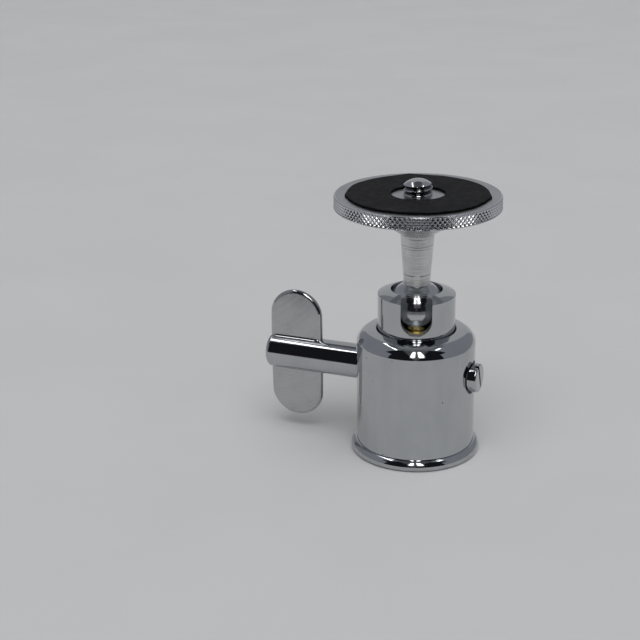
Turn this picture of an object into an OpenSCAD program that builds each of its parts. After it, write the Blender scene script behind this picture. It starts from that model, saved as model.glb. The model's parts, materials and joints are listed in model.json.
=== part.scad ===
// Small camera ball head: slotted turret on a plated bell, knurled platform, wing lever on a cross shaft
// Millimetres, +Z up. The foot stands on Z = 0, the body's axis is Z, and the lever points along -X.

/* [Foot] */
// Diameter over the half-round bead
bead_d = 29.5; // [28.5:0.1:32]
// Height of the bead
bead_h = 2.5; // [1.8:0.1:3]
// Height of the plug, from the foot's underside
plug_h = 10; // [9.2:0.1:11.5]
// Diameter of the tripod socket
socket_d = 6.4; // [5:0.05:9.6]
// Depth of the tripod socket
socket_depth = 8.5; // [6:0.1:9]

/* [Body] */
// Outer diameter of the bell
body_d = 26.9; // [26:0.1:28]
// Height of the bell above the bead, at the turret's neck
body_h = 26.9; // [26.4:0.1:29]
// Slope of the bell's crown, down from the neck
crown_slope = 13; // [6:1:16]
// Radius of the rounded shoulder
shoulder_r = 3.7; // [3:0.1:4.2]
// Angle at which the shoulder breaks into the wall
shoulder_break = 16; // [0:1:25]
// Thickness of the shoulder over the turret's flange
shoulder_t = 2.6; // [2:0.1:3]
// Bore of the bell
bore_d = 20.2; // [19.6:0.1:20.6]

/* [Turret] */
// Outer diameter of the turret
turret_d = 17.5; // [16.8:0.1:18]
// Height of the turret above the bell
turret_h = 9.2; // [8.4:0.1:10.5]
// How far the turret's domed top falls from the mouth to its edge
turret_fall = 1.15; // [0.5:0.05:1.4]
// Diameter of the mouth over the ball
mouth_d = 11.55; // [10.5:0.05:12]
// Width of the drop slot
slot_w = 6.95; // [6.6:0.05:7.4]
// Depth of the middle of the slot's round floor below the ball's centre
slot_drop = 0.55; // [0:0.05:0.7]
// Angle between the drop slot and the front, seen from above
slot_turn = 18.5; // [0:0.5:45]
// Thickness of the thrust washer
washer_t = 0.5; // [0.3:0.05:0.8]

/* [Ball] */
// Diameter of the ball
ball_d = 12.7; // [12.4:0.05:13]
// Depth of the ball's centre below the turret's top
ball_drop = 4.4; // [4:0.1:4.8]

/* [Stem] */
// Diameter of the stem at the ball
stem_low_d = 5.9; // [5:0.05:6]
// Diameter of the stem at the platform's hub
stem_high_d = 7.6; // [7:0.05:9]
// Length of the tapered stem
stem_l = 11.6; // [11:0.1:16]
// Diameter of the spigot in the ball
spigot_low_d = 3.9; // [3:0.1:4.4]
// Length of the spigot in the ball
spigot_low_l = 5; // [3:0.1:6]
// Diameter of the spigot in the hub
spigot_high_d = 5.2; // [4:0.1:5.8]
// Length of the spigot in the hub
spigot_high_l = 3; // [2:0.1:4]

/* [Platform] */
// Diameter of the knurled platform
platform_d = 37; // [30:0.5:45]
// Thickness of the platform's rim
platform_t = 2.95; // [2:0.05:4]
// Bevel on both edges of the rim
rim_bevel = 0.25; // [0.1:0.05:0.5]
// Widest diameter of the conical hub
hub_d = 25; // [16:0.5:28]
// Height of the conical hub
hub_h = 5.9; // [5:0.1:8]

/* [Pad] */
// Diameter of the pad
pad_d = 31.4; // [24:0.1:32]
// Thickness of the pad
pad_t = 0.5; // [0.3:0.05:1.5]
// Diameter of the hole in the pad
pad_hole_d = 11.9; // [9:0.1:16]
// How far the pad is glued off centre, towards the slot
pad_shift = 0.6; // [0:0.1:1]
// How far the corner left by the scissors stands out
pad_corner = 1.1; // [0.4:0.1:1.4]
// Angle from the pad's right to that corner
pad_corner_turn = 97; // [0:1:180]

/* [Camera screw] */
// Diameter of the camera screw
screw_d = 6.35; // [6:0.05:9.5]
// Height of the camera screw over the platform
screw_h = 3.5; // [3:0.05:6]
// Height of the screw's domed end
dome_h = 1.3; // [0.8:0.05:1.8]

/* [Lever] */
// Depth of the shaft's axis below the bell's top
shaft_drop = 10.4; // [10.1:0.1:10.9]
// Diameter of the shaft
shaft_d = 8; // [7.4:0.1:8.4]
// Distance from the body's axis to the shaft's outer end
shaft_reach = 36.2; // [34:0.1:45]
// Radius on the edge of the shaft's outer end
shaft_round = 1; // [0.3:0.1:1.5]
// Width of the wing along the shaft
wing_w = 13; // [9:0.1:15]
// Height of the wing
wing_h = 31.2; // [20:0.1:34]
// Thickness of the wing
wing_t = 1.6; // [1:0.1:2]
// How far the shaft stands out past the wing
wing_inset = 0.3; // [0.2:0.1:3]
// Radius of the brazed fillets
braze_r = 0.6; // [0.4:0.1:1.2]

/* [Cam] */
// Diameter of the eccentric
cam_d = 5.6; // [5.2:0.1:5.9]
// Offset of the eccentric from the shaft's axis
cam_throw = 0.5; // [0.3:0.05:0.6]
// Angle of the eccentric's offset from level, with the ball locked
cam_angle = 40; // [25:1:45]
// Diameter of the shaft's right journal
journal_d = 4.8; // [4.2:0.1:5]

/* [Retaining screw] */
// Diameter of the head
head_d = 6.6; // [6:0.1:7]
// Height of the head
head_h = 2.15; // [1.5:0.05:3]
// Bevel around the head's face
head_bevel = 0.3; // [0.1:0.05:0.5]
// Width of the screwdriver slot
head_slot_w = 1; // [0.6:0.1:1.4]
// Depth of the screwdriver slot
head_slot_h = 0.9; // [0.5:0.1:1.2]
// Diameter of the screw's shank
shank_d = 2.9; // [2.4:0.1:3.2]
// Length of the screw's shank
shank_l = 6; // [4:0.5:8]
// Diameter of the washer under the head
head_washer_d = 5.8; // [5.4:0.1:6.4]
// Thickness of the washer under the head
head_washer_t = 0.6; // [0.3:0.05:0.8]
// Depth of the spot face in the bell
spot_depth = 1.05; // [0.8:0.05:1.4]
// Diameter of the spot face in the bell
spot_d = 7.6; // [7.2:0.1:8.4]

/* [Cup and plunger] */
// Depth of the cup's rim below the ball's centre
cup_rim_drop = 4.2; // [3.8:0.1:4.6]
// Thickness of the cup's floor under the ball
cup_floor = 1.2; // [1:0.05:1.3]
// Depth of the bore in the cup's underside
cup_bore_h = 1.3; // [1:0.05:1.4]
// Diameter of the plunger's nose
nose_d = 6; // [5:0.1:7]
// Thickness of the plunger's foot
foot_t = 2; // [1.6:0.05:2.1]
// Thickness of the disc spring
spring_t = 0.4; // [0.3:0.05:0.5]

/* [Hidden] */
// Running clearance of turning and sliding pieces
run_gap = 0.05;
// Clearance of fixed pieces, and between faces that press on each other
face_gap = 0.02;
// Gap around the turret's neck in the bell
neck_gap = 0.2;
// Clearance between the eccentric and the plunger's foot, for the curve of the cam
cam_gap = 0.02;
// Clearance between the turret's skirt and the shaft
skirt_gap = 0.3;
// Clearance between the ball and its seats
seat_gap = 0.03;
// Length of the eccentric past the plunger's foot
cam_margin = 0.6;
// Run-out of the tapped hole past the screw's end
tap_run = 1;
// Overrun of cutting shapes
cut = 1;
// Smoothness of round forms
$fn = 96;

// Heights in the body
body_top = bead_h + body_h;
bore_top = body_top - shoulder_t;
turret_top = body_top + turret_h;
shaft_z = body_top - shaft_drop;
ball_z = turret_top - ball_drop;
flange_top = bore_top - washer_t - 2 * face_gap;
skirt_z = shaft_z + shaft_d / 2 + skirt_gap;
slot_z = ball_z - slot_drop;

// Fits around the ball
seat_r = ball_d / 2 + seat_gap;
ball_bore_r = seat_r + run_gap;
cup_r = ball_bore_r - run_gap;
flange_r = bore_d / 2 - run_gap;
neck_r = turret_d / 2 + neck_gap;

// Shoulder of the bell: middle of its arc, where the crown touches it, and the top of the straight wall
arc_r = body_d / 2 - shoulder_r * cos(shoulder_break);
touch_r = arc_r + shoulder_r * sin(crown_slope);
touch_z = body_top - (touch_r - neck_r) * tan(crown_slope);
arc_z = touch_z - shoulder_r * cos(crown_slope);
wall_top = arc_z + shoulder_r * sin(shoulder_break);

// Dome of the turret's top: height of its centre and its radius
edge_z = turret_top - turret_fall;
dome_rise = (pow(turret_d / 2, 2) - pow(mouth_d / 2, 2)) / (2 * turret_fall);
crown_z = (turret_top + edge_z) / 2 - dome_rise;
crown_r = sqrt(pow(mouth_d / 2, 2) + pow(turret_top - crown_z, 2));

// Ball and stem
ball_flat_r = stem_low_d / 2 + run_gap;
ball_flat_z = ball_z + sqrt(pow(ball_d / 2, 2) - pow(ball_flat_r, 2));
stem_z = ball_flat_z + face_gap;
hub_z = stem_z + stem_l + face_gap;
platform_z = hub_z + hub_h;
platform_top = platform_z + platform_t;

// Cam, plunger, spring and cup
cam_lift = cam_throw * sin(cam_angle);
foot_z = shaft_z + cam_d / 2 + cam_lift + cam_gap;
foot_top = foot_z + foot_t;
cup_bore_top = ball_z - seat_r - cup_floor;
cup_z = cup_bore_top - cup_bore_h;
cup_rim_z = ball_z - cup_rim_drop;

// Stations along the shaft
cam_left = -(cup_r + cam_margin);
cam_right = sqrt(pow(bore_d / 2, 2) - pow(cam_d / 2 + cam_throw, 2)) - run_gap;
spot_x = body_d / 2 - spot_depth;
head_x = spot_x + head_washer_t + 2 * face_gap;
journal_end = head_x - face_gap;
wing_x = -(shaft_reach - wing_inset - wing_w / 2);

// Lays an upright revolved form along +X, with its foot at the YZ plane
module along_x() {
    rotate([0, 90, 0]) children();
}

// A tube section for revolving, between two radii and two heights
module band(r_in, r_out, z_low, z_high) {
    translate([r_in, z_low]) square([r_out - r_in, z_high - z_low]);
}

// Plug with the bead as its rim and the tripod socket up its middle
module base_plug() {
    color([0.80, 0.80, 0.82])
    rotate_extrude() difference() {
        union() {
            band(0, bead_d / 2 - bead_h / 2, 0, bead_h);
            translate([bead_d / 2 - bead_h / 2, bead_h / 2]) circle(d = bead_h);
            band(0, bore_d / 2 - run_gap, 0, plug_h);
        }
        band(0, socket_d / 2, -cut, socket_depth);
        translate([-bead_d, -cut]) square([bead_d, plug_h + 2 * cut]);
    }
}

// Bell with a rounded shoulder, the turret's neck hole and the two bearings of the cross shaft
module body_shell() {
    color([0.78, 0.78, 0.80])
    difference() {
        rotate_extrude() difference() {
            union() {
                band(0, body_d / 2, bead_h, wall_top);
                polygon([[0, bead_h], [touch_r, bead_h], [touch_r, touch_z], [neck_r, body_top], [0, body_top]]);
                intersection() {
                    translate([arc_r, arc_z]) circle(shoulder_r);
                    band(arc_r, body_d / 2, wall_top, body_top);
                }
            }
            band(0, bore_d / 2, bead_h - cut, bore_top);
            band(0, neck_r, bore_top - cut, body_top + cut);
        }
        translate([-body_d, 0, shaft_z]) along_x() cylinder(h = body_d, d = shaft_d + 2 * run_gap);
        translate([0, 0, shaft_z]) along_x() cylinder(h = body_d, d = journal_d + 2 * run_gap);
        translate([spot_x, 0, shaft_z]) along_x() cylinder(h = body_d, d = spot_d);
    }
}

// Thrust washer between the turret's flange and the bell's shoulder
module turret_washer() {
    color([0.55, 0.38, 0.25])
    rotate_extrude() band(neck_r, flange_r - run_gap, flange_top + face_gap, bore_top - face_gap);
}

// Slotted collar: flange and skirt in the bell, spherical seat over the ball, drop slot to one side
module turret() {
    color([0.82, 0.82, 0.84])
    rotate([0, 0, slot_turn])
    difference() {
        rotate_extrude() {
            band(0, flange_r, skirt_z, flange_top);
            intersection() {
                translate([0, crown_z]) circle(crown_r);
                band(0, turret_d / 2, skirt_z, turret_top + turret_fall);
            }
        }
        translate([0, 0, skirt_z - cut]) cylinder(h = ball_z - skirt_z + cut, r = ball_bore_r);
        translate([0, 0, ball_z]) sphere(seat_r);
        translate([0, 0, ball_z]) cylinder(h = ball_drop + cut, d = mouth_d);
        translate([-slot_w / 2, -turret_d, slot_z]) cube([slot_w, turret_d, turret_top - slot_z + cut]);
        translate([0, 0, slot_z]) rotate([90, 0, 0]) cylinder(h = turret_d, d = slot_w);
    }
}

// Brass cup that carries the ball, bored underneath for the plunger's nose
module thrust_cup() {
    color([0.78, 0.60, 0.25])
    difference() {
        translate([0, 0, cup_z]) cylinder(h = cup_rim_z - cup_z, r = cup_r);
        translate([0, 0, ball_z]) sphere(seat_r);
        translate([0, 0, cup_z - cut]) cylinder(h = cup_bore_h + cut, d = nose_d + 2 * run_gap);
    }
}

// Disc spring between the plunger's foot and the cup
module drag_spring() {
    inner_r = nose_d / 2 + 4 * run_gap;
    outer_r = cup_r - 4 * run_gap;
    low_z = foot_top + face_gap;
    high_z = cup_z - face_gap;
    color([0.45, 0.47, 0.50])
    rotate_extrude() polygon([
        [inner_r, high_z - spring_t],
        [outer_r, low_z],
        [outer_r, low_z + spring_t],
        [inner_r, high_z]
    ]);
}

// Plunger with a flat foot on the eccentric and a nose in the cup
module plunger() {
    color([0.55, 0.56, 0.58])
    rotate_extrude() {
        band(0, cup_r, foot_z, foot_top);
        band(0, nose_d / 2, foot_z, cup_bore_top - face_gap);
    }
}

// Section of the wing: a plate with round edges
module wing_edge(r) {
    band(0, r - wing_t / 2, -wing_t / 2, wing_t / 2);
    intersection() {
        translate([r - wing_t / 2, 0]) circle(d = wing_t);
        band(0, r, -wing_t / 2, wing_t / 2);
    }
}

// Cross shaft: rounded outer end with the wing's slot, eccentric in the middle, right journal with its tapped end
module lever_shaft() {
    end_r = shaft_d / 2;
    stub_l = shaft_reach + cam_left;
    color([0.76, 0.76, 0.78])
    translate([0, 0, shaft_z])
    difference() {
        union() {
            translate([-shaft_reach, 0, 0]) along_x() rotate_extrude() difference() {
                union() {
                    band(0, end_r, shaft_round, stub_l);
                    band(0, end_r - shaft_round, 0, stub_l);
                    translate([end_r - shaft_round, shaft_round]) circle(shaft_round);
                }
                translate([-shaft_d, -cut]) square([shaft_d, stub_l + 2 * cut]);
            }
            translate([cam_left, -cam_throw * cos(cam_angle), cam_lift])
                along_x() cylinder(h = cam_right - cam_left, d = cam_d);
            translate([cam_left, 0, 0]) along_x() cylinder(h = journal_end - cam_left, d = journal_d);
        }
        translate([-shaft_reach - cut, -wing_t / 2 - face_gap, -shaft_d])
            cube([wing_w + wing_inset + face_gap + cut, wing_t + 2 * face_gap, 2 * shaft_d]);
        translate([journal_end - shank_l - tap_run, 0, 0])
            along_x() cylinder(h = shank_l + tap_run + cut, d = shank_d + 2 * face_gap);
    }
}

// Flat wing with rounded ends and edges, and the fillets of its brazing along the shaft
module lever_wing() {
    straight = wing_h - wing_w;
    shaft_r = shaft_d / 2 + face_gap;
    braze_y = wing_t / 2 + braze_r;
    braze_z = sqrt(pow(shaft_r + braze_r, 2) - pow(braze_y, 2));
    touch = shaft_r / (shaft_r + braze_r);
    color([0.74, 0.75, 0.77])
    translate([wing_x, 0, shaft_z]) {
        for (end = [-1, 1])
            translate([0, 0, end * straight / 2]) rotate([90, 0, 0]) rotate_extrude() wing_edge(wing_w / 2);
        translate([-(wing_w - wing_t) / 2, -wing_t / 2, -straight / 2]) cube([wing_w - wing_t, wing_t, straight]);
        for (side = [-1, 1])
            translate([side * (wing_w - wing_t) / 2, 0, -straight / 2]) cylinder(h = straight, d = wing_t);
        for (up = [0, 1], side = [0, 1])
            mirror([0, 0, up]) mirror([0, side, 0])
            translate([-(wing_w - wing_t) / 2, 0, 0]) rotate([90, 0, 90])
            linear_extrude(wing_w - wing_t) difference() {
                polygon([
                    [0, braze_z],
                    [braze_y, braze_z],
                    [braze_y * touch, braze_z * touch],
                    [0, braze_z * touch * 0.8]
                ]);
                translate([braze_y, braze_z]) circle(braze_r);
                circle(shaft_r);
            }
    }
}

// Washer under the retaining screw's head
module retaining_washer() {
    color([0.50, 0.52, 0.55])
    translate([0, 0, shaft_z]) along_x() rotate_extrude()
        band(journal_d / 2 + run_gap, head_washer_d / 2, spot_x + face_gap, spot_x + face_gap + head_washer_t);
}

// Slotted screw that holds the shaft in the bell
module retaining_screw() {
    color([0.80, 0.80, 0.82])
    translate([0, 0, shaft_z])
    difference() {
        along_x() rotate_extrude() {
            band(0, shank_d / 2, head_x - shank_l, head_x + head_bevel);
            polygon([
                [0, head_x],
                [head_d / 2, head_x],
                [head_d / 2, head_x + head_h - head_bevel],
                [head_d / 2 - head_bevel, head_x + head_h],
                [0, head_x + head_h]
            ]);
        }
        translate([head_x + head_h - head_slot_h, -head_slot_w / 2, -head_d])
            cube([head_slot_h + cut, head_slot_w, 2 * head_d]);
    }
}

// Ball with a flat and a bore for the stem
module ball() {
    color([0.85, 0.85, 0.87])
    difference() {
        translate([0, 0, ball_z]) sphere(d = ball_d);
        translate([0, 0, ball_flat_z]) cylinder(h = ball_d, d = ball_d);
        translate([0, 0, ball_flat_z - spigot_low_l - run_gap])
            cylinder(h = spigot_low_l + run_gap + cut, d = spigot_low_d + 2 * run_gap);
    }
}

// Tapered stem with a spigot at each end
module stem() {
    color([0.70, 0.70, 0.70])
    union() {
        translate([0, 0, stem_z - spigot_low_l]) cylinder(h = spigot_low_l + cut, d = spigot_low_d);
        translate([0, 0, stem_z]) cylinder(h = stem_l, d1 = stem_low_d, d2 = stem_high_d);
        translate([0, 0, stem_z + stem_l - cut]) cylinder(h = spigot_high_l + cut, d = spigot_high_d);
    }
}

// Platform: bevelled rim over a conical hub, bored through for the stem and the screw
module platform_disc() {
    color([0.77, 0.77, 0.79])
    difference() {
        rotate_extrude() {
            polygon([
                [0, platform_z],
                [platform_d / 2 - rim_bevel, platform_z],
                [platform_d / 2, platform_z + rim_bevel],
                [platform_d / 2, platform_top - rim_bevel],
                [platform_d / 2 - rim_bevel, platform_top],
                [0, platform_top]
            ]);
            polygon([
                [0, hub_z],
                [stem_high_d / 2, hub_z],
                [hub_d / 2, platform_z + rim_bevel],
                [0, platform_z + rim_bevel]
            ]);
        }
        translate([0, 0, hub_z - cut])
            cylinder(h = hub_h + platform_t + 2 * cut, d = spigot_high_d + 2 * face_gap);
    }
}

// Sheet pad, cut by hand: round, with the corner that a straight snip left at the back
module platform_pad() {
    pad_r = pad_d / 2;
    snip = acos(pad_r / (pad_r + pad_corner));
    color([0.10, 0.10, 0.11])
    rotate([0, 0, slot_turn])
    translate([0, -pad_shift, platform_top])
    linear_extrude(pad_t) difference() {
        union() {
            circle(pad_r);
            rotate(pad_corner_turn) polygon([
                [0, 0],
                [pad_r * cos(snip), -pad_r * sin(snip)],
                [pad_r + pad_corner, 0],
                [pad_r * cos(snip), pad_r * sin(snip)]
            ]);
        }
        circle(d = pad_hole_d);
    }
}

// Camera screw: shank in the platform's bore, shoulder on the platform, domed end
module camera_screw() {
    shank_z = stem_z + stem_l + spigot_high_l + face_gap;
    thread_z = platform_top + face_gap;
    dome_z = platform_top + screw_h - dome_h;
    dome_r = (pow(screw_d / 2, 2) + pow(dome_h, 2)) / (2 * dome_h);
    color([0.72, 0.72, 0.74])
    rotate_extrude() {
        band(0, spigot_high_d / 2, shank_z, thread_z);
        band(0, screw_d / 2, thread_z, dome_z);
        intersection() {
            translate([0, dome_z + dome_h - dome_r]) circle(dome_r);
            band(0, screw_d, dome_z, dome_z + dome_h + cut);
        }
    }
}

base_plug();
body_shell();
turret_washer();
turret();
thrust_cup();
drag_spring();
plunger();
lever_shaft();
lever_wing();
retaining_washer();
retaining_screw();
ball();
stem();
platform_disc();
platform_pad();
camera_screw();
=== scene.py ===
import json
import bmesh
import bpy
import numpy as np
from mathutils import Matrix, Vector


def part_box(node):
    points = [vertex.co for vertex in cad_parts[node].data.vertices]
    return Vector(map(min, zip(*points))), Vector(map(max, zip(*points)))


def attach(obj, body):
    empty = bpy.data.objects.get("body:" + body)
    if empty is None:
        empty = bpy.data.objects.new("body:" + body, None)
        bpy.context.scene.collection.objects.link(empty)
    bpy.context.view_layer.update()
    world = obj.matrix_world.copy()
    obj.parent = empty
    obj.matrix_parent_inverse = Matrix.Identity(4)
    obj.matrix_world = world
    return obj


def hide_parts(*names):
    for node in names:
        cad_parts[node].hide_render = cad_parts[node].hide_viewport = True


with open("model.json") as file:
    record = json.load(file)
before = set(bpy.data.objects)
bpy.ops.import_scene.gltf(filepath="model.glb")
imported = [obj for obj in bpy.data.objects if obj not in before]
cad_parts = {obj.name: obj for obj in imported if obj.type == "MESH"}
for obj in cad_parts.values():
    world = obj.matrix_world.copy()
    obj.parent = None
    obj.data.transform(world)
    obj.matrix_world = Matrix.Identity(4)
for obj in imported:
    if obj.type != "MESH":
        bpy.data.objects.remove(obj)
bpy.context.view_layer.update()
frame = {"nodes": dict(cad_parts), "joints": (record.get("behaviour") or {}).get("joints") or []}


# Foot plug: turned brass, pressed up into the bell, with a half-round bead that shows as the foot's rim.
# It is chrome plated like the bell. The tripod socket is tapped up its middle, and its underside is flat.
MM = 0.001


def corners(node):
    """A CAD node's lowest and highest corners at rest, in millimetres."""
    return [np.array(corner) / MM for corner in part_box(node)]


plug_high = corners("base_plug")[1]
bead_r, plug_top = plug_high[0], plug_high[2]
bead_h, bead_under, bead_over = 2.5, 0.8, 1.65
plug_r, plug_round = 10.05, 0.3
socket_r, socket_depth = 3.2, 8.5
socket_mouth, socket_mouth_round = 0.5, 0.1
socket_thread, thread_pitch, thread_flat = 0.55, 1.27, 0.1
arc_ease = 0.02
weld, sliver = 2e-7, 1e-7
pit_brown = (0.09, 0.085, 0.08, 1)
fine_relief = 0.000012


def rounded(points, radii, steps=8):
    """Profile through corners of radius and height, each inner corner replaced by an arc that touches both
    sides. An arc is a conic through its two touching points, with the cosine of half the turn as its weight.
    A row just outside each end of an arc keeps the straight stretches flat."""
    p = np.asarray(points, float)
    sides = np.diff(p, axis=0)
    lengths = np.linalg.norm(sides, axis=1)
    sides = sides / lengths[:, None]
    into, out = sides[:-1], sides[1:]
    turn = np.sum(into * out, axis=1)
    reach = np.asarray(radii, float) * np.sqrt((1 - turn) / (1 + turn))
    start = p[1:-1] - into * reach[:, None]
    end = p[1:-1] + out * reach[:, None]
    weight = np.sqrt((1 + turn) / 2)[:, None, None]
    s = np.linspace(0, 1, steps + 1)[None, :, None]
    ends = (1 - s) ** 2 * start[:, None] + s**2 * end[:, None]
    pull = 2 * weight * s * (1 - s)
    arcs = (ends + pull * p[1:-1, None]) / ((1 - s) ** 2 + s**2 + pull)
    spare = lengths - np.append(reach, 0) - np.insert(reach, 0, 0)
    step = np.clip(spare / 3, 0, arc_ease)[:, None]
    rows = [(start - into * step[:-1])[:, None], arcs, (end + out * step[1:])[:, None]]
    return np.concatenate([p[:1], np.concatenate(rows, axis=1).reshape(-1, 2), p[-1:]])


def polar(r, a, z):
    """Points at a radius, an angle about Z and a height: x = r cos a, y = r sin a."""
    return np.stack([r * np.cos(a), r * np.sin(a), z + 0 * a], -1)


def spun(profile, columns=192):
    """A profile of radius and height turned about Z, with its ring of columns closed. They are given by their
    number, where they are even, or by their angles."""
    a = np.arange(columns) * 2 * np.pi / columns if np.isscalar(columns) else columns
    r, z = np.asarray(profile, float).T[:, :, None]
    return polar(r, a, z), True


def threaded(radius, depth, low, high, count, rows_per_turn=12, start=0.0, run_out=True):
    """A screw thread as a tube: the radius falls by the depth along a helix, straight from a flat crest to a
    flat root. Its place is height over pitch less the turn, and start is the share of a turn by which the
    helix is set on. The thread fades over half a pitch at its low end, and at its high end too where it runs
    out."""
    rows = int((high - low) / thread_pitch * rows_per_turn) + 1
    a = np.arange(count) * 2 * np.pi / count
    z = np.linspace(low, high, rows)[:, None] + 0 * a
    groove = np.abs(2 * (((z - low) / thread_pitch - a / (2 * np.pi) - start) % 1) - 1)
    room = np.minimum(z - low, high - z) if run_out else z - low
    fade = np.clip(room / (thread_pitch / 2), 0, 1)
    r = radius - depth * fade * np.clip((groove - thread_flat) / (1 - 2 * thread_flat), 0, 1)
    return polar(r, a, z), True


def shell(name, *grids, sharp=30):
    """One mesh from grids of points in millimetres. A grid holds rows by columns of points, and a flag that
    joins its last column to its first. A third entry cuts its cells into triangles, along the rising diagonal
    where it is true. Edges that meet are merged, and the faces are turned outwards."""
    points, faces, start = [], [], 0
    for grid, closed, *rising in grids:
        rows, columns = grid.shape[:2]
        r = np.arange(rows - 1)[:, None] * columns
        c = np.arange(columns if closed else columns - 1)[None]
        here, beside = start + r + c, start + r + (c + 1) % columns
        cells = np.stack([here, beside, beside + columns, here + columns], -1)
        if rising:
            up = rising[0][..., None]
            lower = np.where(up, cells[..., [0, 1, 2]], cells[..., [0, 1, 3]])
            upper = np.where(up, cells[..., [0, 2, 3]], cells[..., [1, 2, 3]])
            cells = np.stack([lower, upper])
        faces += cells.reshape(-1, cells.shape[-1]).tolist()
        points.append(grid.reshape(-1, 3))
        start += rows * columns
    mesh = bpy.data.meshes.new(name)
    mesh.from_pydata((np.concatenate(points) * MM).tolist(), [], faces)
    work = bmesh.new()
    work.from_mesh(mesh)
    bmesh.ops.remove_doubles(work, verts=work.verts, dist=weld)
    bmesh.ops.dissolve_degenerate(work, edges=work.edges, dist=sliver)
    bmesh.ops.recalc_face_normals(work, faces=work.faces)
    work.to_mesh(mesh)
    work.free()
    mesh.shade_smooth()
    mesh.set_sharp_from_angle(angle=np.radians(sharp))
    piece = bpy.data.objects.new(name, mesh)
    bpy.context.scene.collection.objects.link(piece)
    return piece


def fit(piece, finish, slot, body, *nodes):
    """Gives a piece its finish and puts it on a body in place of CAD nodes."""
    piece.data.materials.append(finish)
    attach(piece, body)
    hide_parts(*nodes)


class Tone:
    """A socket in a finish's nodes. Arithmetic on it adds Math nodes."""

    def __init__(self, tree, socket):
        self.tree, self.socket = tree, socket

    def node(self, kind, settings=None, sockets=None, output=0):
        """Adds a node of any kind: first its settings, then a value or link for each of its sockets."""
        made = self.tree.nodes.new("ShaderNode" + kind)
        for key, value in (settings or {}).items():
            setattr(made, key, value)
        for key, value in (sockets or {}).items():
            if isinstance(value, Tone):
                self.tree.links.new(value.socket, made.inputs[key])
            else:
                made.inputs[key].default_value = value
        return Tone(self.tree, made.outputs[output])

    def math(self, operation, a, b=0.0):
        """Adds a Math node."""
        return self.node("Math", {"operation": operation}, {0: a, 1: b})

    def __add__(self, other):
        return self.math("ADD", self, other)

    def __sub__(self, other):
        return self.math("SUBTRACT", self, other)

    def __rsub__(self, other):
        return self.math("SUBTRACT", other, self)

    def __mul__(self, other):
        return self.math("MULTIPLY", self, other)

    def __truediv__(self, other):
        return self.math("DIVIDE", self, other)

    def __rtruediv__(self, other):
        return self.math("DIVIDE", other, self)

    def __abs__(self):
        return self.math("ABSOLUTE", self)

    __radd__, __rmul__ = __add__, __mul__

    def step(self, low, high):
        """Smooth step from 0 at low to 1 at high."""
        return self.node("MapRange", {"interpolation_type": "SMOOTHSTEP"}, {0: self, 1: low, 2: high})

    def mix(self, a, b):
        """Colour a where this is 0, b where it is 1."""
        return self.node("Mix", {"data_type": "RGBA"}, {0: self, 6: a, 7: b}, 2)

    def stretch(self, x, y, z):
        """This vector with each axis multiplied, for patterns that run one way."""
        return self.node("VectorMath", {"operation": "MULTIPLY"}, {0: self, 1: (x, y, z)})

    def less(self, point):
        """This vector measured from a point."""
        return self.node("VectorMath", {"operation": "SUBTRACT"}, {0: self, 1: point})

    def along(self, direction):
        """How far this vector reaches along a direction."""
        return self.node("VectorMath", {"operation": "DOT_PRODUCT"}, {0: self, 1: direction}, 1)

    def length(self):
        """Length of this vector."""
        return self.node("VectorMath", {"operation": "LENGTH"}, {0: self}, 1)

    def axis(self, index):
        """One part of this vector: 0, 1 or 2 for x, y or z."""
        return self.node("SeparateXYZ", None, {0: self}, index)

    def noise(self, scale, detail=2.0):
        """Soft noise about 1 over scale metres across."""
        return self.node("TexNoise", None, {"Vector": self, "Scale": scale, "Detail": detail})

    def bands(self, scale, detail=2.0, roughness=0.5):
        """Noise along one measure, such as a height or a radius, for rings and strokes."""
        sockets = {"W": self, "Scale": scale, "Detail": detail, "Roughness": roughness}
        return self.node("TexNoise", {"noise_dimensions": "1D"}, sockets)

    def bump(self, distance):
        """Normal of a surface raised by this height times a distance in metres."""
        return self.node("Bump", None, {"Height": self, "Distance": distance})

    def ray(self, answer):
        """What Light Path says of the ray that meets the surface."""
        return self.node("LightPath", None, None, answer)


def finish(name, **sockets):
    """Starts a finish: its material, its shader with the sockets that stay the same all over, and where it
    is, as the piece's own coordinates."""
    material = bpy.data.materials.new(name)
    material.use_nodes = True
    tree = material.node_tree
    shader = tree.nodes["Principled BSDF"]
    for key, value in sockets.items():
        shader.inputs[key.replace("_", " ")].default_value = value
    return material, shader, Tone(tree, tree.nodes.new("ShaderNodeTexCoord").outputs["Object"])


def wire(shader, **tones):
    """Links what changes over the surface to the shader's sockets."""
    for key, tone in tones.items():
        tone.tree.links.new(tone.socket, shader.inputs[key.replace("_", " ")])


def pits(where, size, spread, share):
    """Mask of small round pits: in a share of the cells of a scattered pattern, the middle of the cell."""
    cells = {"Vector": where, "Scale": 1 / spread}
    from_middle = where.node("TexVoronoi", None, cells)
    lot = where.node("TexVoronoi", None, cells, 1).axis(0)
    spot = 1 - from_middle.step(0.4 * size / spread, size / spread)
    return spot * lot.step(1 - share, 1 - share + 0.02)


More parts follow.
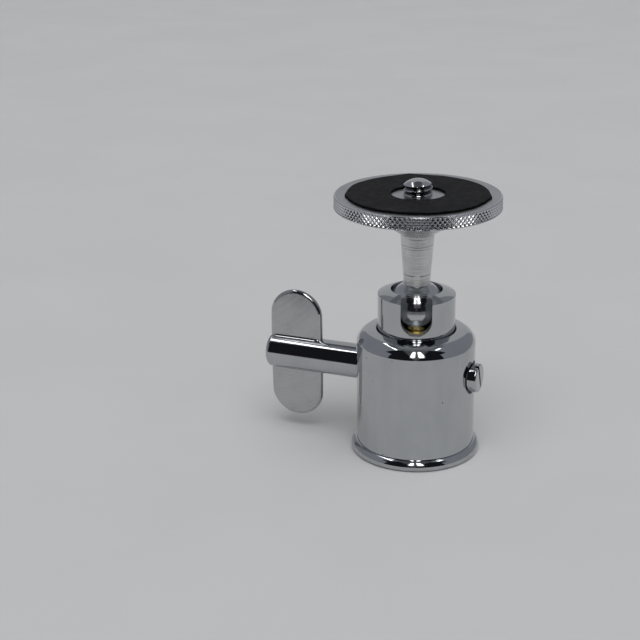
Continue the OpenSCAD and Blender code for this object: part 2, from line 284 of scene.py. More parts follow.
def chrome(name, rub=(1, 1, 1), tone=0.505, haze=0.035, rings=0.0, dull=None):
    """Bright chrome plate: hazed in soft patches by handling and wiped up and down, with fine rubbing marks
    and a few pits. Rings is the depth of the lathe's marks that still show, and dull gives the mask of a
    place left unpolished."""
    material, shader, where = finish(name, Metallic=1.0)
    wiped = where.stretch(1, 1, 0.12).noise(330, 3).step(0.35, 0.7)
    patch = 0.5 * where.noise(170, 3).step(0.42, 0.72) + 0.5 * wiped
    rubbed = where.stretch(*rub).noise(2600, 2).step(0.55, 0.8)
    holes = pits(where, 0.00021, 0.0026, 0.45)
    clean = (0.99 * tone, 1.02 * tone, 1.04 * tone, 1)
    hazed = (0.91 * tone, 0.94 * tone, 0.965 * tone, 1)
    rough = haze + 0.03 * patch + 0.03 * rubbed + 0.3 * holes
    relief = 0.16 * rubbed + 0.35 * where.noise(420, 1) - 2.0 * holes
    if rings:
        relief = relief + rings * where.axis(2).bands(1700, 3, 0.6)
    if dull:
        unpolished = dull(where)
        rough = rough + 0.4 * unpolished
        relief = relief + 1.5 * unpolished * where.stretch(1, 1, 0.2).noise(5200, 2)
    plated = holes.mix(patch.mix(clean, hazed), pit_brown)
    wire(shader, Base_Color=plated, Roughness=rough, Normal=relief.bump(fine_relief))
    return material


lathe_chrome = chrome("chrome_lathe_polished", rub=(0.06, 0.06, 1))
socket_edge = [(socket_r, socket_mouth), (socket_r + socket_mouth, 0)]
bead = [(bead_r, 0), (bead_r, bead_h)]
plug = [(plug_r, bead_h), (plug_r, plug_top), (0, plug_top)]
plug_rounds = [socket_mouth_round, bead_under, bead_over, 0, plug_round]
foot_plug = shell(
    "foot_plug",
    spun([(0, socket_depth), (socket_r, socket_depth)]),
    threaded(socket_r, socket_thread, socket_mouth, socket_depth, 192),
    spun(rounded(socket_edge + bead + plug, plug_rounds, 14)),
)
fit(foot_plug, lathe_chrome, "polished_chrome", "body", "base_plug")


# Bell: a brass body turned with a rounded shoulder, bored out, cross-drilled for the shaft and spot-faced
# on the right for its retaining screw. It is polished and chrome plated all over the outside.
def joint(name):
    """A joint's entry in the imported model."""
    return next(entry for entry in frame["joints"] if entry["name"] == name)


bell_low, bell_high = corners("body_shell")
bell_foot, bell_r, bell_top = bell_low[2], bell_high[0], bell_high[2]
bore_r, bore_top = 10.1, bell_top - 2.6
neck_r, neck_round = 8.95, 0.35
crown_slope, shoulder_r, shoulder_break = np.radians(13), 3.7, np.radians(16)
shaft_z = joint("lever_turn")["pos_m"][2] / MM
shaft_hole_r, journal_hole_r = 4.05, 2.45
spot_r, spot_x = 3.8, 12.4
border_level, border_upright, border_steps = 96, 48, 40
shoulder_at = bell_r - shoulder_r * np.cos(shoulder_break)
crown_end = shoulder_at + shoulder_r * np.sin(crown_slope)
shoulder_z = bell_top - (crown_end - neck_r) * np.tan(crown_slope) - shoulder_r * np.cos(crown_slope)
wall_top = shoulder_z + shoulder_r * np.sin(shoulder_break)

level = np.linspace(-1, 1, border_level, endpoint=False)
upright = np.linspace(0, 1, border_upright, endpoint=False)
border_turn = np.concatenate([level, 0 * upright + 1, -level, 0 * upright - 1]) * np.pi / 2
border_rise = np.concatenate([0 * level, upright, 0 * level + 1, 1 - upright])
bearing = np.arctan2(bell_foot + border_rise * (wall_top - bell_foot) - shaft_z, border_turn * bell_r)


def half_wall(radius, top, hole, side):
    """Half of a round wall with a cross hole in it. In the unrolled wall, straight lines run from the hole's
    edge to the half's border, and then it is rolled up. The other half is the same turned half a turn."""
    t = np.linspace(0, 1, border_steps)[:, None]
    hole_turn = np.arcsin(hole * np.cos(bearing) / radius)
    hole_rise = shaft_z + hole * np.sin(bearing)
    a = (1 - t) * hole_turn + t * border_turn
    z = (1 - t) * hole_rise + t * (bell_foot + border_rise * (top - bell_foot))
    return polar(side * radius, a, z), True


def cross_hole(steps, side):
    """Wall of a cross hole: rings of a radius along X, each on a round wall of that radius or on the plane at
    an x."""
    rings = []
    for hole, wall, plane in steps:
        y = hole * np.cos(bearing)
        x = np.full_like(y, plane) if plane else np.sqrt(wall**2 - y**2)
        rings.append(np.stack([side * x, side * y, shaft_z + hole * np.sin(bearing)], -1))
    return np.stack(rings), True


crown_a = np.linspace(np.pi / 2 - crown_slope, shoulder_break, 28)
crown_r = shoulder_at + shoulder_r * np.cos(crown_a)
shoulder = np.stack([crown_r, shoulder_z + shoulder_r * np.sin(crown_a)], -1)
neck = rounded([(neck_r, bore_top), (neck_r, bell_top), shoulder[0]], [neck_round], 16)
spot_face = [(spot_r, bell_r, 0), (spot_r, 0, spot_x)]
journal_hole = [(journal_hole_r, 0, spot_x), (journal_hole_r, bore_r, 0)]
shaft_hole = [(shaft_hole_r, bell_r, 0), (shaft_hole_r, bore_r, 0)]
bell = shell(
    "bell",
    spun(np.concatenate([neck, shoulder[1:]])),
    half_wall(bell_r, wall_top, spot_r, 1),
    half_wall(bell_r, wall_top, shaft_hole_r, -1),
    spun([(bell_r, bell_foot), (bore_r, bell_foot)]),
    half_wall(bore_r, bore_top, journal_hole_r, 1),
    half_wall(bore_r, bore_top, shaft_hole_r, -1),
    spun([(bore_r, bore_top), (neck_r, bore_top)]),
    cross_hole(spot_face + journal_hole, 1),
    cross_hole(shaft_hole, -1),
    sharp=10,
)
fit(bell, lathe_chrome, "polished_chrome", "body", "body_shell")


# Thrust washer: a thin phosphor bronze ring, stamped and left bare. It lies under the bell's shoulder, and
# the turret's flange turns against it.
bronze = (0.62, 0.42, 0.25)


def bare_metal(name, colour, grain, rough, marks=(1, 1, 1)):
    """Unplated metal: its colour darkens in patches, and fine tool marks run one way."""
    material, shader, where = finish(name, Metallic=1.0)
    stain = where.noise(260, 4).step(0.35, 0.75)
    cut = where.stretch(*marks).noise(grain, 3)
    wire(
        shader,
        Base_Color=stain.mix((*colour, 1), (*[0.7 * part for part in colour], 1)),
        Roughness=rough + 0.12 * stain + 0.1 * cut,
        Normal=cut.bump(0.00002),
    )
    return material


def refinish(material, *nodes):
    """Gives CAD nodes that keep their shape a finish."""
    for node in nodes:
        frame["nodes"][node].data.materials.clear()
        frame["nodes"][node].data.materials.append(material)


refinish(bare_metal("bronze_stamped", bronze, 5000, 0.3), "turret_washer")


# Turret: a brass collar that turns in the bell's neck and closes over the ball. A slot milled with a round
# cutter lets the stem drop to one side. Its top is turned to a low dome, and it is polished and chrome
# plated, with the slot left as milled.
turret_low, turret_high = corners("turret")
turret_foot, turret_top = turret_low[2], turret_high[2]
tilt = joint("ball_tilt")
ball_z = tilt["pos_m"][2] / MM
slot_turn = np.arctan2(tilt["axis"][1], tilt["axis"][0])
turret_r, turret_fall, turret_edge_round = 8.75, 1.15, 0.1
flange_r, flange_top = 10.05, 26.26
seat_r = 6.4
mouth_r, lip_w, lip_round = 5.775, 0.4, 0.15
slot_w, slot_z, slot_break = 6.95, ball_z - 0.55, 0.14


def slot_half(z):
    """Half the slot's width at a height: straight walls down to a little below the ball's centre, then a
    round floor."""
    return np.sqrt((slot_w / 2) ** 2 - np.clip(slot_z - z, 0, slot_w / 2) ** 2)


def turned(points, angle=slot_turn):
    """Points turned about Z."""
    c, s = np.cos(angle), np.sin(angle)
    return points @ np.array([[c, s, 0], [-s, c, 0], [0, 0, 1]])


def collar_skin(profile, count=192):
    """Each point of a profile sweeps from one edge of the slot round to the other edge."""
    r, z = profile.T[:, :, None]
    edge = np.arcsin(slot_half(z) / r)
    a = edge + (2 * np.pi - 2 * edge) * np.linspace(0, 1, count) - np.pi / 2
    return turned(polar(r, a, z)), False


def slot_walls(outer, inner, count=9):
    """Both walls and the floor of the slot, as straight lines from the outer skin to the inner one."""
    q = np.linspace(0, 1, count)[:, None]
    r, z = np.moveaxis(outer[:, None] * (1 - q) + inner[:, None] * q, -1, 0)
    half = slot_half(z)
    y = -np.sqrt(r**2 - half**2)
    sides = [np.stack([side * half, y, z], -1) for side in (-1, 1)]
    return turned(np.concatenate([sides[0][::-1], sides[1][1:]])), False


floor_z = slot_z - slot_w / 2 * np.cos(np.linspace(0, np.pi / 2, 24))
seat_top = ball_z + np.sqrt(seat_r**2 - mouth_r**2)
seat_corner = ball_z + seat_r * np.tan(np.arccos(mouth_r / seat_r) / 2)
dome_z = turret_top - turret_fall / 2 - (turret_r**2 - mouth_r**2) / (2 * turret_fall)
dome_r = np.hypot(mouth_r, turret_top - dome_z)
lip_lean, edge_lean = np.arcsin((mouth_r + lip_w) / dome_r), np.arcsin(turret_r / dome_r)
lip = (dome_r * np.sin(lip_lean), dome_z + dome_r * np.cos(lip_lean))
dome_lean, dome_far = (lip_lean + edge_lean) / 2, dome_r / np.cos((edge_lean - lip_lean) / 2)
dome_corner = (dome_far * np.sin(dome_lean), dome_z + dome_far * np.cos(dome_lean))
dome_round = 0.9 * dome_r


def above_floor(edge, radii):
    """Profile of a skin of the collar: up the slot's round floor, then over the corners of an edge."""
    floor = np.stack([0 * floor_z + edge[0][0], floor_z], -1)
    return np.concatenate([floor, rounded(edge, radii)[1:]])


outer_wall = [(turret_r, slot_z), (turret_r, seat_corner), (turret_r, turret_top - turret_fall)]
inner_wall = [(seat_r, slot_z), (seat_r, seat_corner), (mouth_r, seat_top), (mouth_r, turret_top)]
outer_skin = above_floor(outer_wall + [dome_corner, lip], [0, turret_edge_round, dome_round])
inner_skin = above_floor(inner_wall + [lip], [seat_r, 0, lip_round])
flange = [(seat_r, turret_foot), (flange_r, turret_foot), (flange_r, flange_top), (turret_r, flange_top)]


def in_slot(where):
    """Mask of the milled slot: between its walls, in front of the axis, and inside the collar's outer
    skin."""
    c, s = np.cos(slot_turn), np.sin(slot_turn)
    radius = where.stretch(1, 1, 0).length()
    between = 1 - abs(where.along((c, s, 0))).step((slot_w / 2 + 0.02) * MM, (slot_w / 2 + 0.05) * MM)
    inside = 1 - radius.step((turret_r - 0.25) * MM, (turret_r - 0.18) * MM)
    return between * inside * where.along((s, -c, 0)).step(0.001, 0.002)


turret = shell(
    "turret_collar",
    collar_skin(np.concatenate([flange, outer_skin, inner_skin[::-1], flange[:1]])),
    slot_walls(outer_skin, inner_skin),
)
broken_edges = turret.modifiers.new("broken_edges", "BEVEL")
broken_edges.width = slot_break * MM
broken_edges.segments = 3
broken_edges.limit_method = "ANGLE"
broken_edges.angle_limit = np.radians(50)
slotted_chrome = chrome("chrome_slotted", rub=(0.06, 0.06, 1), dull=in_slot)
fit(turret, slotted_chrome, "polished_chrome", "turret", "turret")


# Cup: turned brass, left unplated, with a spherical seat that presses up on the ball from below. Its bright
# rim shows in the turret's slot.
cup_low, cup_high = corners("thrust_cup")
cup_foot, cup_r, cup_rim = cup_low[2], cup_high[0], cup_high[2]
cup_bore_r, cup_bore_top = 3.05, cup_foot + 1.3
cup_brass = (0.74, 0.58, 0.21)
cup_arc = np.linspace(0, np.arccos((ball_z - cup_rim) / cup_r), 24)
cup_seat = np.stack([cup_r * np.sin(cup_arc), ball_z - cup_r * np.cos(cup_arc)], -1)
cup_side = [(cup_r, cup_rim), (cup_r, cup_foot)]
cup_bore = [(cup_bore_r, cup_foot), (cup_bore_r, cup_bore_top), (0, cup_bore_top)]
cup = shell("ball_cup", spun(np.concatenate([cup_seat, cup_side, cup_bore])))
turned_brass = bare_metal("brass_turned", cup_brass, 9000, 0.08, marks=(0.1, 0.1, 1))
fit(cup, turned_brass, "brass", "turret", "thrust_cup")


# Disc spring and plunger: pressed from tempered strip, and turned from bright bar. Both work inside the bell,
# between the eccentric and the cup.
strip_grey, bar_grey = (0.36, 0.36, 0.38), (0.56, 0.56, 0.57)
refinish(bare_metal("spring_strip", strip_grey, 3000, 0.34), "drag_spring")
refinish(bare_metal("bright_bar", bar_grey, 8000, 0.26, marks=(0.1, 0.1, 1)), "plunger")


# Cross shaft: turned steel, chrome plated, with a rounded outer end that is slit for the wing. Inside the
# bell it carries the eccentric that lifts the plunger, and its right journal ends under the retaining screw.
shaft_low, shaft_high = corners("lever_shaft")
wing_low, wing_high = corners("lever_wing")
shaft_left, shaft_right = shaft_low[0], shaft_high[0]
shaft_r, shaft_round = 4.0, 1.0
slit_half, slit_end = 0.82, wing_low[0] + 1.2
cam_left, cam_right, cam_r, cam_lap = -6.98, 9.5, 2.8, 0.2
cam_side, cam_rise = -0.383, 0.321
journal_r = 2.4


def along_x(grid, y, z):
    """Lays a form spun about Z along +X, on the line at y and z."""
    points, closed = grid
    return np.stack([points[..., 2], points[..., 1] + y, z - points[..., 0]], -1), closed


def slit_bar(profile, half, barrel, count=48):
    """Round bar with a slit across its end: both halves of the end's skin, from the slit's edge over to its
    other edge, the slit's two walls, its floor, and the barrel below. The profile runs from the floor's level
    to the face and ends at the slit. Its last three points lie on the face, so the walls and the floor have
    columns there. The barrel is spun at the angles of the points round the floor, so that the two meet."""
    r, z = profile.T[:, :, None]
    a = np.arccos(np.clip(half / r, -1, 1)) * np.linspace(-1, 1, count)
    skin = np.stack([r * np.sin(a), r * np.cos(a), z + 0 * a], -1)
    edge = np.sqrt(np.clip(r**2 - half**2, 0, None))
    share = edge[-3:, 0] / edge[-3]
    share = np.concatenate([-share, share[1::-1]])
    wall_x = edge[:-2] * share
    wall = np.stack([wall_x, half + 0 * wall_x, z[:-2] + 0 * wall_x], -1)
    y = np.linspace(-half, half, 7)
    floor_x = np.sqrt(r[0] ** 2 - y**2) * share[:, None]
    floor = np.stack([floor_x, y + 0 * floor_x, z[0] + 0 * floor_x], -1)
    ring = np.concatenate([np.arcsin(y / r[0])[:-1], np.pi / 2 - a[0, :0:-1]])
    other = np.array([1, -1, 1])
    open_grids = [skin, skin * other, wall, wall * other, floor]
    return [(grid, False) for grid in open_grids] + [spun(barrel, np.concatenate([ring, ring + np.pi]))]


shaft_end = rounded([(shaft_r, slit_end), (shaft_r, shaft_left), (slit_half, shaft_left)], [shaft_round])
shaft_barrel = [(shaft_r, slit_end), (shaft_r, cam_left), (0, cam_left)]
cam_start = cam_left - cam_lap
cam_bar = [(0, cam_start), (cam_r, cam_start), (cam_r, cam_right), (0, cam_right)]
journal = [(0, cam_start), (journal_r, cam_start), (journal_r, shaft_right), (0, shaft_right)]
shaft = shell(
    "cross_shaft",
    *[along_x(grid, 0, shaft_z) for grid in slit_bar(shaft_end, slit_half, shaft_barrel)],
    along_x(spun(cam_bar), cam_side, shaft_z + cam_rise),
    along_x(spun(journal), 0, shaft_z),
)
shaft_chrome = chrome("chrome_shaft", rub=(1, 0.05, 0.05), haze=0.06)
fit(shaft, shaft_chrome, "polished_chrome", "lever", "lever_shaft")


# Wing: a flat steel plate with rounded ends and edges, let into the shaft's slit and brazed along both sides.
# It was linished by hand before plating, which left fine arcs in the chrome.
wing_t, wing_w = 1.6, wing_high[0] - wing_low[0]
wing_mid = (wing_low + wing_high) / 2
wing_straight = (wing_high[2] - wing_low[2] - wing_w) / 2
braze_r, braze_least = 0.6, 0.02
stroke_pivot = (-0.048, 0.0, 0.052)
wing_bright, wing_grey = (0.505, 0.515, 0.525, 1), (0.44, 0.45, 0.46, 1)


def round_ended(half_width, half_straight, thick, count=160, edge=12):
    """Plate with round ends: from its middle line out over one face, round the full-round edge and back over
    the other face. Round the outline, each ray leaves the middle line at the end that its direction points
    to, and the nearly level ones leave it in between."""
    a = np.arange(count) * 2 * np.pi / count
    turn = np.linspace(np.pi / 2, -np.pi / 2, edge)
    reach = half_width - thick / 2 + np.concatenate([[0], thick / 2 * np.cos(turn), [0]])
    reach[[0, -1]] = 0
    y = np.concatenate([[thick / 2], thick / 2 * np.sin(turn), [-thick / 2]])
    x = reach[:, None] * np.cos(a)
    z = reach[:, None] * np.sin(a) + half_straight * np.clip(np.sin(a) * 6, -1, 1)
    return np.stack([x, y[:, None] + 0 * x, z], -1) + wing_mid, True


def braze(side, up, count=40):
    """Concave fillet between the wing's face and the shaft: an arc that touches both, carried along the shaft
    and drawn in to nothing at its ends, with a foot inside the metal."""
    s = np.linspace(-1, 1, count)[:, None]
    radius = braze_r * np.sqrt(np.clip(1 - s**16, 0, 1)) + braze_least
    y0 = wing_t / 2 + radius
    z0 = np.sqrt((shaft_r + radius) ** 2 - y0**2)
    a = np.pi + np.linspace(0, 1, 10) * np.arctan2(z0, y0)
    x = wing_mid[0] + s * (wing_w - wing_t) / 2
    fillet = np.stack([x + 0 * a, y0 + radius * np.cos(a), z0 + radius * np.sin(a)], -1)
    foot = np.stack([x, 0 * x + wing_t / 4, 0 * x + shaft_r * 0.9], -1)
    ring = np.concatenate([fillet, foot], axis=1)
    tips = 0 * ring[[0, -1]] + ring[[0, -1]].mean(axis=1, keepdims=True)
    ring = np.concatenate([tips[:1], ring, tips[1:]])
    return ring * np.array([1, side, up]) + np.array([0, 0, shaft_z]), True


def linished(name):
    """Chrome over a hand-finished plate: fine arcs about a far point on its faces, with a few deeper
    strokes, and a smoother edge."""
    material, shader, where = finish(name, Metallic=1.0)
    radius = where.less(stroke_pivot).stretch(1, 0, 1).length()
    fine = radius.bands(9000, 3)
    stroke = (radius + 0.0004 * where.noise(300)).bands(3200).step(0.55, 0.7)
    patch = where.noise(240, 3).step(0.35, 0.7)
    proud = abs(where.axis(1)) / MM - wing_t / 2
    face = proud.step(-0.12, -0.02) * (1 - proud.step(0.02, 0.06))
    wire(
        shader,
        Base_Color=(0.4 * patch + 0.6 * stroke).mix(wing_bright, wing_grey),
        Roughness=0.07 + face * (0.12 + 0.05 * patch + 0.07 * fine),
        Normal=(face * (fine + 0.4 * stroke)).bump(fine_relief),
    )
    return material


wing = shell(
    "wing",
    round_ended(wing_w / 2, wing_straight, wing_t),
    *[braze(side, up) for side in (-1, 1) for up in (-1, 1)],
)
fit(wing, linished("chrome_linished"), "satin_chrome", "lever", "lever_wing")


# Retaining washer and screw: a bright steel washer in the spot face, under a turned and slotted screw that
# holds the shaft in the bell. The head is chrome plated, with its edge broken.
retainer_low, retainer_high = corners("retaining_screw")
shank_end, head_top = retainer_low[0], retainer_high[0]
head_r, head_h, head_bevel, head_under = 3.3, 2.15, 0.45, 0.12
head_slot, head_slot_depth, head_slot_turn = 0.35, 0.8, np.radians(20)
shank_r, shank_round = 1.45, 0.2
head_x, slot_x = head_top - head_h, head_top - head_slot_depth
washer_grey = (0.55, 0.55, 0.57)
head_face = rounded([(head_r, slot_x), (head_r, head_top), (head_slot, head_top)], [head_bevel], 6)
shank = [(0, shank_end), (shank_r, shank_end), (shank_r, head_x)]
head_barrel = rounded(shank + [(head_r, head_x), (head_r, slot_x)], [shank_round, 0, head_under])
retaining_screw = shell(
    "retaining_screw_head",
    *[
        along_x((turned(grid, head_slot_turn), closed), 0, shaft_z)
        for grid, closed in slit_bar(head_face, head_slot, head_barrel)
    ],
)
fit(retaining_screw, shaft_chrome, "polished_chrome", "lever", "retaining_screw")
refinish(bare_metal("washer_steel", washer_grey, 6000, 0.28), "retaining_washer")


# Ball: ground steel, chrome plated and polished, with a small flat that the stem is screwed down on. Faint
# rings of the grinding still show through the plate.
ball_high = corners("ball")[1]
ball_r, ball_flat = ball_high[0], ball_high[2]
ball_arc = np.linspace(-np.pi / 2, np.arcsin((ball_flat - ball_z) / ball_r), 72)
ball_side = np.stack([ball_r * np.cos(ball_arc), ball_z + ball_r * np.sin(ball_arc)], -1)
ball = shell("ball_plated", spun(np.concatenate([ball_side, [(0, ball_flat)]])))
ball_chrome = chrome("chrome_ball", tone=0.56, haze=0.03, rings=5.0)
fit(ball, ball_chrome, "polished_chrome", "ball", "ball")


# Stem: turned from bar and thinly plated, so that the tool's fine rings still show, with five deeper rings
# where the cut was started again. It is screwed into the ball, and the platform's hub sits on its upper end.
stem_low, stem_high = corners("stem")
seat_gap = 0.02
stem_end, stem_z, stem_top = stem_low[2], ball_flat + seat_gap, corners("platform_disc")[0][2] - seat_gap
stem_foot_r, stem_head_r, spigot_r = 2.95, stem_high[0], 1.95
ring_z = np.array([52.2, 50.95, 49.14, 48.55, 42.3])
ring_depth = np.array([0.035, 0.03, 0.07, 0.03, 0.035])
ring_w = 0.05
stem_bright, stem_filmed = (0.63, 0.635, 0.64, 1), (0.57, 0.575, 0.575, 1)
stem_pit = (0.07, 0.065, 0.06, 1)
stem_rows = np.linspace(stem_z, stem_top, 360)
stem_taper = stem_foot_r + (stem_head_r - stem_foot_r) * (stem_rows - stem_z) / (stem_top - stem_z)
stem_cut = np.sum(ring_depth * np.exp(-(((stem_rows[:, None] - ring_z) / ring_w) ** 2)), axis=1)
stem_side = np.stack([stem_taper - stem_cut, stem_rows], -1)
stem_spigot = [(0, stem_end), (spigot_r, stem_end), (spigot_r, stem_z)]


def turned_bar(name):
    """Turned metal: rings left by the tool at two pitches, a dull film in places and small pits."""
    material, shader, where = finish(name, Metallic=1.0)
    height = where.axis(2) + 0.00002 * where.noise(900, 1)
    fine, wide = height.bands(14000, 3), height.bands(2300, 1)
    film = where.noise(420, 4).step(0.42, 0.68)
    holes = pits(where, 0.0002, 0.0018, 0.3)
    wire(
        shader,
        Base_Color=holes.mix(film.mix(stem_bright, stem_filmed), stem_pit),
        Roughness=0.13 + 0.05 * film + 0.08 * wide,
        Normal=(1.5 * fine + 1.4 * wide - 2.0 * holes).bump(0.000014),
    )
    return material


stem = shell("stem_turned", spun(np.concatenate([stem_spigot, stem_side, [(0, stem_top)]]), 128))
fit(stem, turned_bar("turned_bar_plated"), "turned_metal", "platform", "stem")


# Platform: a turned disc on a conical hub, its rim rolled with a diamond knurl for the fingers. The top was
# faced flat in the lathe, and the whole is chrome plated.
disc_low, disc_high = corners("platform_disc")
hub_foot, disc_r, disc_top = disc_low[2], disc_high[0], disc_high[2]
disc_t, disc_bevel, top_break, edge_break = 2.95, 0.25, 0.08, 0.05
hub_r, hub_round, hub_bore_r = 12.5, 0.6, 2.62
disc_z = disc_top - disc_t
rim_low, rim_high = disc_z + disc_bevel, disc_top - disc_bevel
knurl_teeth, knurl_depth, knurl_round, knurl_run_out = 112, 0.31, 0.35, 0.12
knurl_rows, tooth_columns = 26, 12
knurl_columns = knurl_teeth * tooth_columns
knurl_pitch = tooth_columns * (rim_high - rim_low) / (knurl_rows - 1)
# Painted shade darkens the top's tones, and painted light brightens the rim's for the knurl and the hub.
shaded_top_clean, shaded_top_hazed = (0.40, 0.415, 0.44, 1), (0.37, 0.385, 0.405, 1)
lit_rim_clean, lit_rim_hazed = (0.65, 0.66, 0.675, 1), (0.61, 0.62, 0.63, 1)


def knurled():
    """Rim with a diamond knurl: two families of V grooves wind round it in opposite directions, and the
    relief at a point is the lower of the two ridges there. A share of a cosine rounds the ridges, as wear
    does, and the grooves run out at both edges. A row up is a column along, so the grooves' bottoms lie on
    the cells' diagonals."""
    a = np.arange(knurl_columns) * 2 * np.pi / knurl_columns
    z = np.linspace(rim_low, rim_high, knurl_rows)[:, None]
    teeth, climb = knurl_teeth * a / (2 * np.pi), (z - rim_low) / knurl_pitch
    phase = np.stack([teeth - climb, teeth + climb])
    keen = 1 - np.abs(2 * (phase % 1) - 1)
    worn = (1 - np.cos(2 * np.pi * phase)) / 2
    relief = np.min((1 - knurl_round) * keen + knurl_round * worn, axis=0)
    fade = np.clip(np.minimum(z - rim_low, rim_high - z) / knurl_run_out, 0, 1)
    r = disc_r - knurl_depth * fade * (1 - relief)
    rising = (np.arange(knurl_columns) - np.arange(knurl_rows - 1)[:, None]) % (tooth_columns // 2) == 0
    return polar(r, a, z), True, rising


def faced(name):
    """Chrome over a faced and knurled disc: rings about the axis on the flat, painted darker as shade on the
    satin top, and painted brighter as light on the knurl and the hub."""
    material, shader, where = finish(name, Metallic=1.0)
    radius = where.stretch(1, 1, 0).length()
    ring = radius.bands(7000, 3)
    patch = where.noise(200, 3).step(0.38, 0.7)
    under = 1 - where.axis(2).step((disc_z - 0.3) * MM, disc_z * MM)
    flat = 1 - (radius - (disc_r - 0.4) * MM).step(0, 0.00005)
    top_painted_shade = patch.mix(shaded_top_clean, shaded_top_hazed)
    rim_painted_light = patch.mix(lit_rim_clean, lit_rim_hazed)
    wire(
        shader,
        # Painted shade on the flat top, and painted light on the knurl and the hub.
        Base_Color=(flat * (1 - under)).mix(rim_painted_light, top_painted_shade),
        Roughness=0.14 + 0.12 * flat + 0.04 * patch + 0.05 * ring + 0.1 * under,
        Normal=(flat * ring + 0.3 * where.noise(2500, 2)).bump(0.000008),
    )
    return material


hub = [(hub_bore_r, hub_foot), (stem_head_r, hub_foot), (hub_r, disc_z)]
under_edge = [(disc_r - disc_bevel, disc_z), (disc_r, rim_low)]
upper_edge = [(disc_r, rim_high), (disc_r - disc_bevel, disc_top)]
hub_bore = [(hub_bore_r, disc_top), (hub_bore_r, hub_foot)]
platform = shell(
    "platform_knurled",
    spun(rounded(hub + under_edge, [edge_break, hub_round, edge_break], 4), knurl_columns),
    knurled(),
    spun(rounded(upper_edge + hub_bore, [top_break, edge_break], 4), knurl_columns),
)
fit(platform, faced("chrome_faced"), "satin_chrome", "platform", "platform_disc")


# Pad: a ring of black sheet, cut by hand with scissors and glued on the platform a little off centre.
# Straight snips left a corner at the back and a lesser one at each side, and the edge wanders where the
# scissors were moved on.
pad_low, pad_high = corners("platform_pad")
pad_foot, pad_top = pad_low[2], pad_high[2]
pad_t = pad_top - pad_foot
pad_r, pad_hole_r, pad_shift = 15.7, 5.95, 0.6
pad_corner_turns = np.radians([[97], [186], [-9]])
pad_corners = np.array([[1.1], [0.36], [0.5]])
sheet_dark, sheet_pale = (0.006, 0.006, 0.007, 1), (0.013, 0.013, 0.015, 1)
# The cut edge's near black is painted shade.
sheet_edge_shade, dust_grey = (0.001, 0.001, 0.0012, 1), (0.16, 0.155, 0.15, 1)


def cut_sheet(count=360):
    """Ring of sheet: a circle, with the tangents that meet at each snipped corner, radius over the cosine of
    the angle to where the tangent touches, and small waves for the scissors, which die away at the snips.
    Its section runs from the hole's foot up, across the top, down the outer edge and back."""
    a = np.arange(count) * 2 * np.pi / count
    snip = np.arccos(pad_r / (pad_r + pad_corners))
    off = np.abs((a - pad_corner_turns + np.pi) % (2 * np.pi) - np.pi)
    snipped = np.max(pad_r / np.cos(np.clip(snip - off, 0, None)), axis=0)
    calm = np.min(np.clip((off - snip) / 0.15, 0, 1), axis=0)
    waves = 0.07 * np.sin(5 * a + 0.6) + 0.05 * np.sin(9 * a + 2.1) + 0.03 * np.sin(17 * a)
    outer_r = snipped + calm * waves - 0.06
    hole_r = pad_hole_r + 0.05 * np.sin(3 * a + 1) + 0.03 * np.sin(7 * a)
    top = np.linspace(0.05, 0.95, 19)
    share = np.concatenate([[0, 0, 0.012], top, [0.99, 1, 1, 0]])
    height = np.concatenate([[0, pad_t - 0.1, pad_t], 0 * top + pad_t, [pad_t, pad_t - 0.12, 0, 0]])
    r = hole_r + share[:, None] * (outer_r - hole_r)
    return turned(polar(r, a, pad_foot + height[:, None]) - np.array([0, pad_shift, 0])), True


def black_sheet(name):
    """Matt black sheet: fine grain, a fibrous mottle, dust on its top, and painted shade on its cut edge."""
    material, shader, where = finish(name, Specular_IOR_Level=0.12)
    grain = where.noise(5200, 3)
    mottle = where.noise(700, 4).step(0.35, 0.7)
    dust = pits(where, 0.00012, 0.0016, 0.12)
    top = where.axis(2).step((pad_top - 0.16) * MM, (pad_top - 0.06) * MM)
    dusted = (0.6 * dust).mix(mottle.mix(sheet_dark, sheet_pale), dust_grey)
    wire(
        shader,
        # The cut edge below the top is painted near black as shade.
        Base_Color=top.mix(sheet_edge_shade, dusted),
        Roughness=0.62 + 0.2 * grain,
        Normal=(grain + 0.8 * mottle).bump(0.00003),
    )
    return material


pad = shell("pad_cut_sheet", cut_sheet())
fit(pad, black_sheet("black_sheet"), "black_sheet", "platform", "platform_pad")


# Camera screw: turned steel with a quarter-inch thread, worn shallow, and a domed end. Its shank is fixed in
# the platform's bore, and the thread's groove is painted dark as shade.
bolt_low, bolt_high = corners("camera_screw")
bolt_foot, bolt_z, bolt_tip = bolt_low[2], disc_top + seat_gap, bolt_high[2]
bolt_r, bolt_thread, bolt_shank_r = 3.175, 0.47, 2.6
bolt_start, bolt_columns, bolt_rows_per_turn = 0.675, 96, 48
tip_h = 1.3
tip_r = (bolt_r**2 + tip_h**2) / (2 * tip_h)
bolt_bright, bolt_dull = (0.56, 0.57, 0.585, 1), (0.48, 0.49, 0.50, 1)
# The groove's dark is painted shade.
groove_shade = (0.085, 0.085, 0.09, 1)


def domed(points):
    """The end of a form about Z turned to a dome: points outside a sphere on the axis move in to it at their
    height, and points above its top come down to the top."""
    z = np.minimum(points[..., 2:], bolt_tip)
    edge = np.sqrt(np.clip(tip_r**2 - (z - bolt_tip + tip_r) ** 2, 0, None))
    r = np.linalg.norm(points[..., :2], axis=-1, keepdims=True)
    return np.concatenate([points[..., :2] * np.minimum(1, edge / np.maximum(r, 1e-9)), z], -1)


